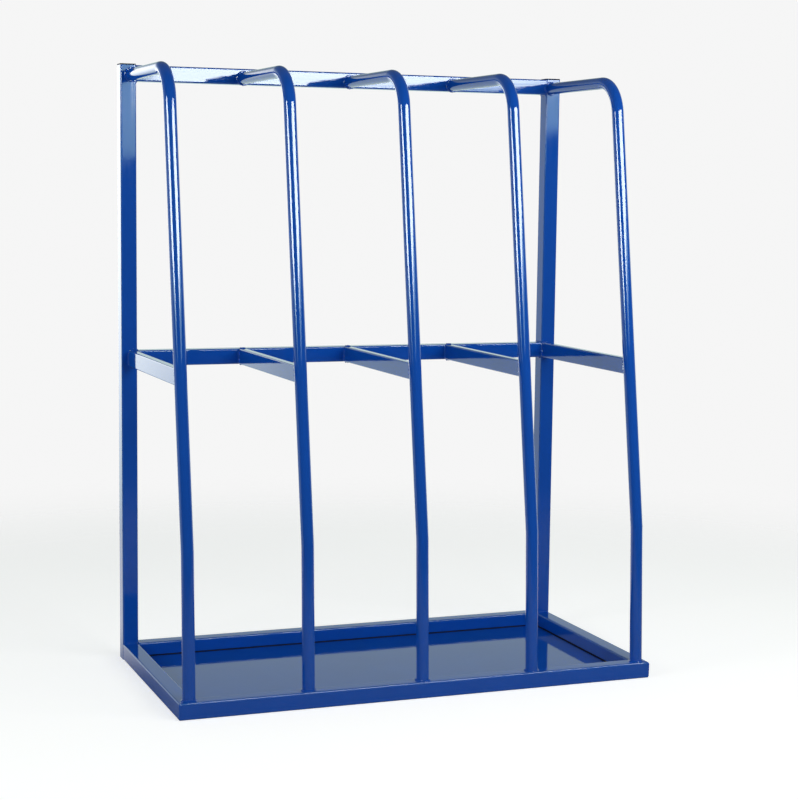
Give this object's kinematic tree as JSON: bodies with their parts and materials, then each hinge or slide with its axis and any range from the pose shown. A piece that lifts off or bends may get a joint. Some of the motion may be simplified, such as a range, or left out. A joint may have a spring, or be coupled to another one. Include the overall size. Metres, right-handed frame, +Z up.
{
  "type": "vertical bar storage rack",
  "caption": "Upright welded tube rack that stores long bars standing in bays between bent tube hoops, leaning on a box-section back frame over a shallow floor tray.",
  "frame": {"origin": "on the floor, at the middle of the footprint", "axes": "+Z up, +X to the right seen from the front, +Y from the open front to the back frame"},
  "size_m": [1.2, 0.62, 1.503],
  "materials": {
    "blue_powder_coat": "glossy blue powder coat on welded steel tube",
    "black_plastic": "moulded black polyethylene"
  },
  "bodies": {
    "root": {"left_post": "blue_powder_coat", "right_post": "blue_powder_coat", "top_rail": "blue_powder_coat", "middle_rail": "blue_powder_coat", "base_front_rail": "blue_powder_coat", "base_back_rail": "blue_powder_coat", "base_left_rail": "blue_powder_coat", "base_right_rail": "blue_powder_coat", "floor_plate": "blue_powder_coat", "divider_hoop_1": "blue_powder_coat", "divider_hoop_2": "blue_powder_coat", "divider_hoop_3": "blue_powder_coat", "divider_hoop_4": "blue_powder_coat", "divider_hoop_5": "blue_powder_coat", "divider_tie_1": "blue_powder_coat", "divider_tie_2": "blue_powder_coat", "divider_tie_3": "blue_powder_coat", "divider_tie_4": "blue_powder_coat", "divider_tie_5": "blue_powder_coat", "left_post_cap": "black_plastic", "right_post_cap": "black_plastic"}
  },
  "joints": []
}
